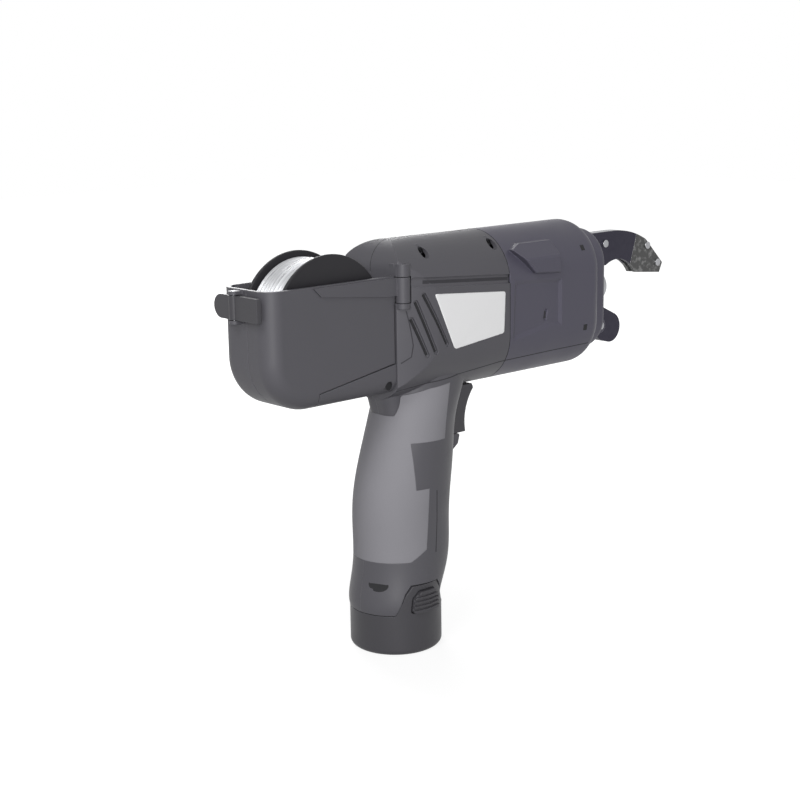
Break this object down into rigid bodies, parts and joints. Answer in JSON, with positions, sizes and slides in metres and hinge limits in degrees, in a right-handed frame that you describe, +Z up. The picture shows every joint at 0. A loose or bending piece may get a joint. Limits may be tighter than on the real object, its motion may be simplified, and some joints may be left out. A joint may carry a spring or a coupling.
{
  "type": "cordless rebar tying gun",
  "caption": "Cordless tying gun: a pistol grip on a push-in battery, wire reel box behind, hooked jaw in front that loops wire round crossed bars and twists it tight.",
  "frame": {"origin": "middle of the battery's underside, on which the tool stands", "axes": "+X forward to the jaw, +Y to the left of the person holding it, +Z up"},
  "size_m": [0.329, 0.0624, 0.2248],
  "materials": {
    "body_plastic": "fine moulded texture",
    "dark_plastic": "fine moulded texture",
    "reel_plastic": "moulded",
    "grip_rubber": "matt overmould",
    "arm_steel": "blackened",
    "plain_steel": "machined",
    "screw_steel": "blackened",
    "motor_can": "plated",
    "gear_case": "die cast",
    "tie_wire": "bright drawn wire",
    "circuit_board": "coated",
    "cell_can": "wrapped in film"
  },
  "bodies": {
    "tool_body": {"right_housing": "body_plastic", "left_housing": "body_plastic", "grip_sleeve": "grip_rubber", "housing_screws": "screw_steel", "nose_cover": "body_plastic", "nose_ring": "body_plastic", "ring_screws": "screw_steel", "reel_box": "body_plastic", "box_screw": "screw_steel", "reel_spindle": "plain_steel", "hinge_pin": "plain_steel", "latch_pin": "plain_steel", "twist_motor": "motor_can", "gearbox": "gear_case", "shaft_bearing": "plain_steel", "feed_frame": "plain_steel", "feed_motor": "motor_can", "wire_guide": "plain_steel", "control_board": "circuit_board", "trigger_switch": "dark_plastic", "trigger_spring": "plain_steel", "contact_block": "dark_plastic", "curl_guide": "plain_steel", "arm_plate_right": "arm_steel", "arm_plate_left": "arm_steel", "tip_cheeks": "plain_steel", "arm_rivets": "plain_steel", "guide_pin": "plain_steel"},
    "door": {"reel_door": "body_plastic", "hinge_strap": "screw_steel"},
    "latch": {"door_latch": "dark_plastic"},
    "reel": {"wire_reel": "reel_plastic", "wire_core": "tie_wire", "wire_winding": "tie_wire"},
    "twister": {"twist_shaft": "plain_steel", "twist_hook": "plain_steel"},
    "pinion": {"feed_pinion": "plain_steel"},
    "idler": {"idler_gear": "plain_steel"},
    "feed_drum": {"feed_roller": "plain_steel", "feed_gear": "plain_steel"},
    "pinch_drum": {"pinch_roller": "plain_steel"},
    "jaw_guide": {"lower_guide": "arm_steel"},
    "trigger_lever": {"trigger": "dark_plastic"},
    "power_switch": {"power_slide": "dark_plastic"},
    "battery": {"battery_base": "dark_plastic", "battery_stem": "dark_plastic", "battery_board": "circuit_board", "battery_cells": "cell_can", "battery_terminals": "plain_steel"},
    "right_button": {"latch_button_right": "dark_plastic"},
    "left_button": {"latch_button_left": "dark_plastic"}
  },
  "joints": [
    {"name": "door_hinge", "type": "hinge", "parent": "tool_body", "child": "door", "pos_m": [-0.0098, -0.0205, 0.2004], "axis": [0, 0, 1], "range_deg": [0, 100]},
    {"name": "latch_rock", "type": "hinge", "parent": "tool_body", "child": "latch", "pos_m": [-0.1001, 0.003, 0.1991], "axis": [0, 0, 1], "range_deg": [-8, 0], "stiffness_Nm_per_rad": 0.3, "springref_deg": 1.15},
    {"name": "reel_spin", "type": "hinge", "parent": "tool_body", "child": "reel", "pos_m": [-0.0532, 0, 0.1872], "axis": [0, 1, 0], "continuous": true},
    {"name": "twist_spin", "type": "hinge", "parent": "tool_body", "child": "twister", "pos_m": [0.1484, 0, 0.1824], "axis": [1, 0, 0], "continuous": true},
    {"name": "pinion_spin", "type": "hinge", "parent": "tool_body", "child": "pinion", "pos_m": [0.02, 0.01025, 0.1605], "axis": [0, 1, 0], "continuous": true},
    {"name": "idler_spin", "type": "hinge", "parent": "tool_body", "child": "idler", "pos_m": [0.0241, 0.01025, 0.177], "axis": [0, 1, 0], "continuous": true},
    {"name": "feed_spin", "type": "hinge", "parent": "tool_body", "child": "feed_drum", "pos_m": [0.02, 0, 0.19555], "axis": [0, 1, 0], "continuous": true},
    {"name": "pinch_spin", "type": "hinge", "parent": "tool_body", "child": "pinch_drum", "pos_m": [0.02, 0, 0.21245], "axis": [0, 1, 0], "continuous": true},
    {"name": "guide_swing", "type": "hinge", "parent": "tool_body", "child": "jaw_guide", "pos_m": [0.1608, 0, 0.159], "axis": [0, 1, 0], "range_deg": [0, 40], "stiffness_Nm_per_rad": 0.15, "springref_deg": -5.73},
    {"name": "trigger_pull", "type": "slide", "parent": "tool_body", "child": "trigger_lever", "axis": [-1, 0, 0], "range_m": [0, 0.005], "stiffness_N_per_m": 1500, "springref_m": -0.002, "deforming": ["trigger_spring"]},
    {"name": "power_switch_slide", "type": "slide", "parent": "tool_body", "child": "power_switch", "axis": [1, 0, 0], "range_m": [0, 0.006]},
    {"name": "battery_slide", "type": "slide", "parent": "tool_body", "child": "battery", "axis": [0, 0, -1], "range_m": [0, 0.055]},
    {"name": "right_button_press", "type": "slide", "parent": "battery", "child": "right_button", "axis": [0, 1, 0], "range_m": [0, 0.0018], "stiffness_N_per_m": 2500, "springref_m": -0.001},
    {"name": "left_button_press", "type": "slide", "parent": "battery", "child": "left_button", "axis": [0, -1, 0], "range_m": [0, 0.0018], "stiffness_N_per_m": 2500, "springref_m": -0.001}
  ],
  "couplings": [
    {"joint": "pinion_spin", "follows": "idler_spin", "ratio": -1.8333},
    {"joint": "feed_spin", "follows": "idler_spin", "ratio": -1.375},
    {"joint": "pinch_spin", "follows": "idler_spin", "ratio": 1.375}
  ]
}
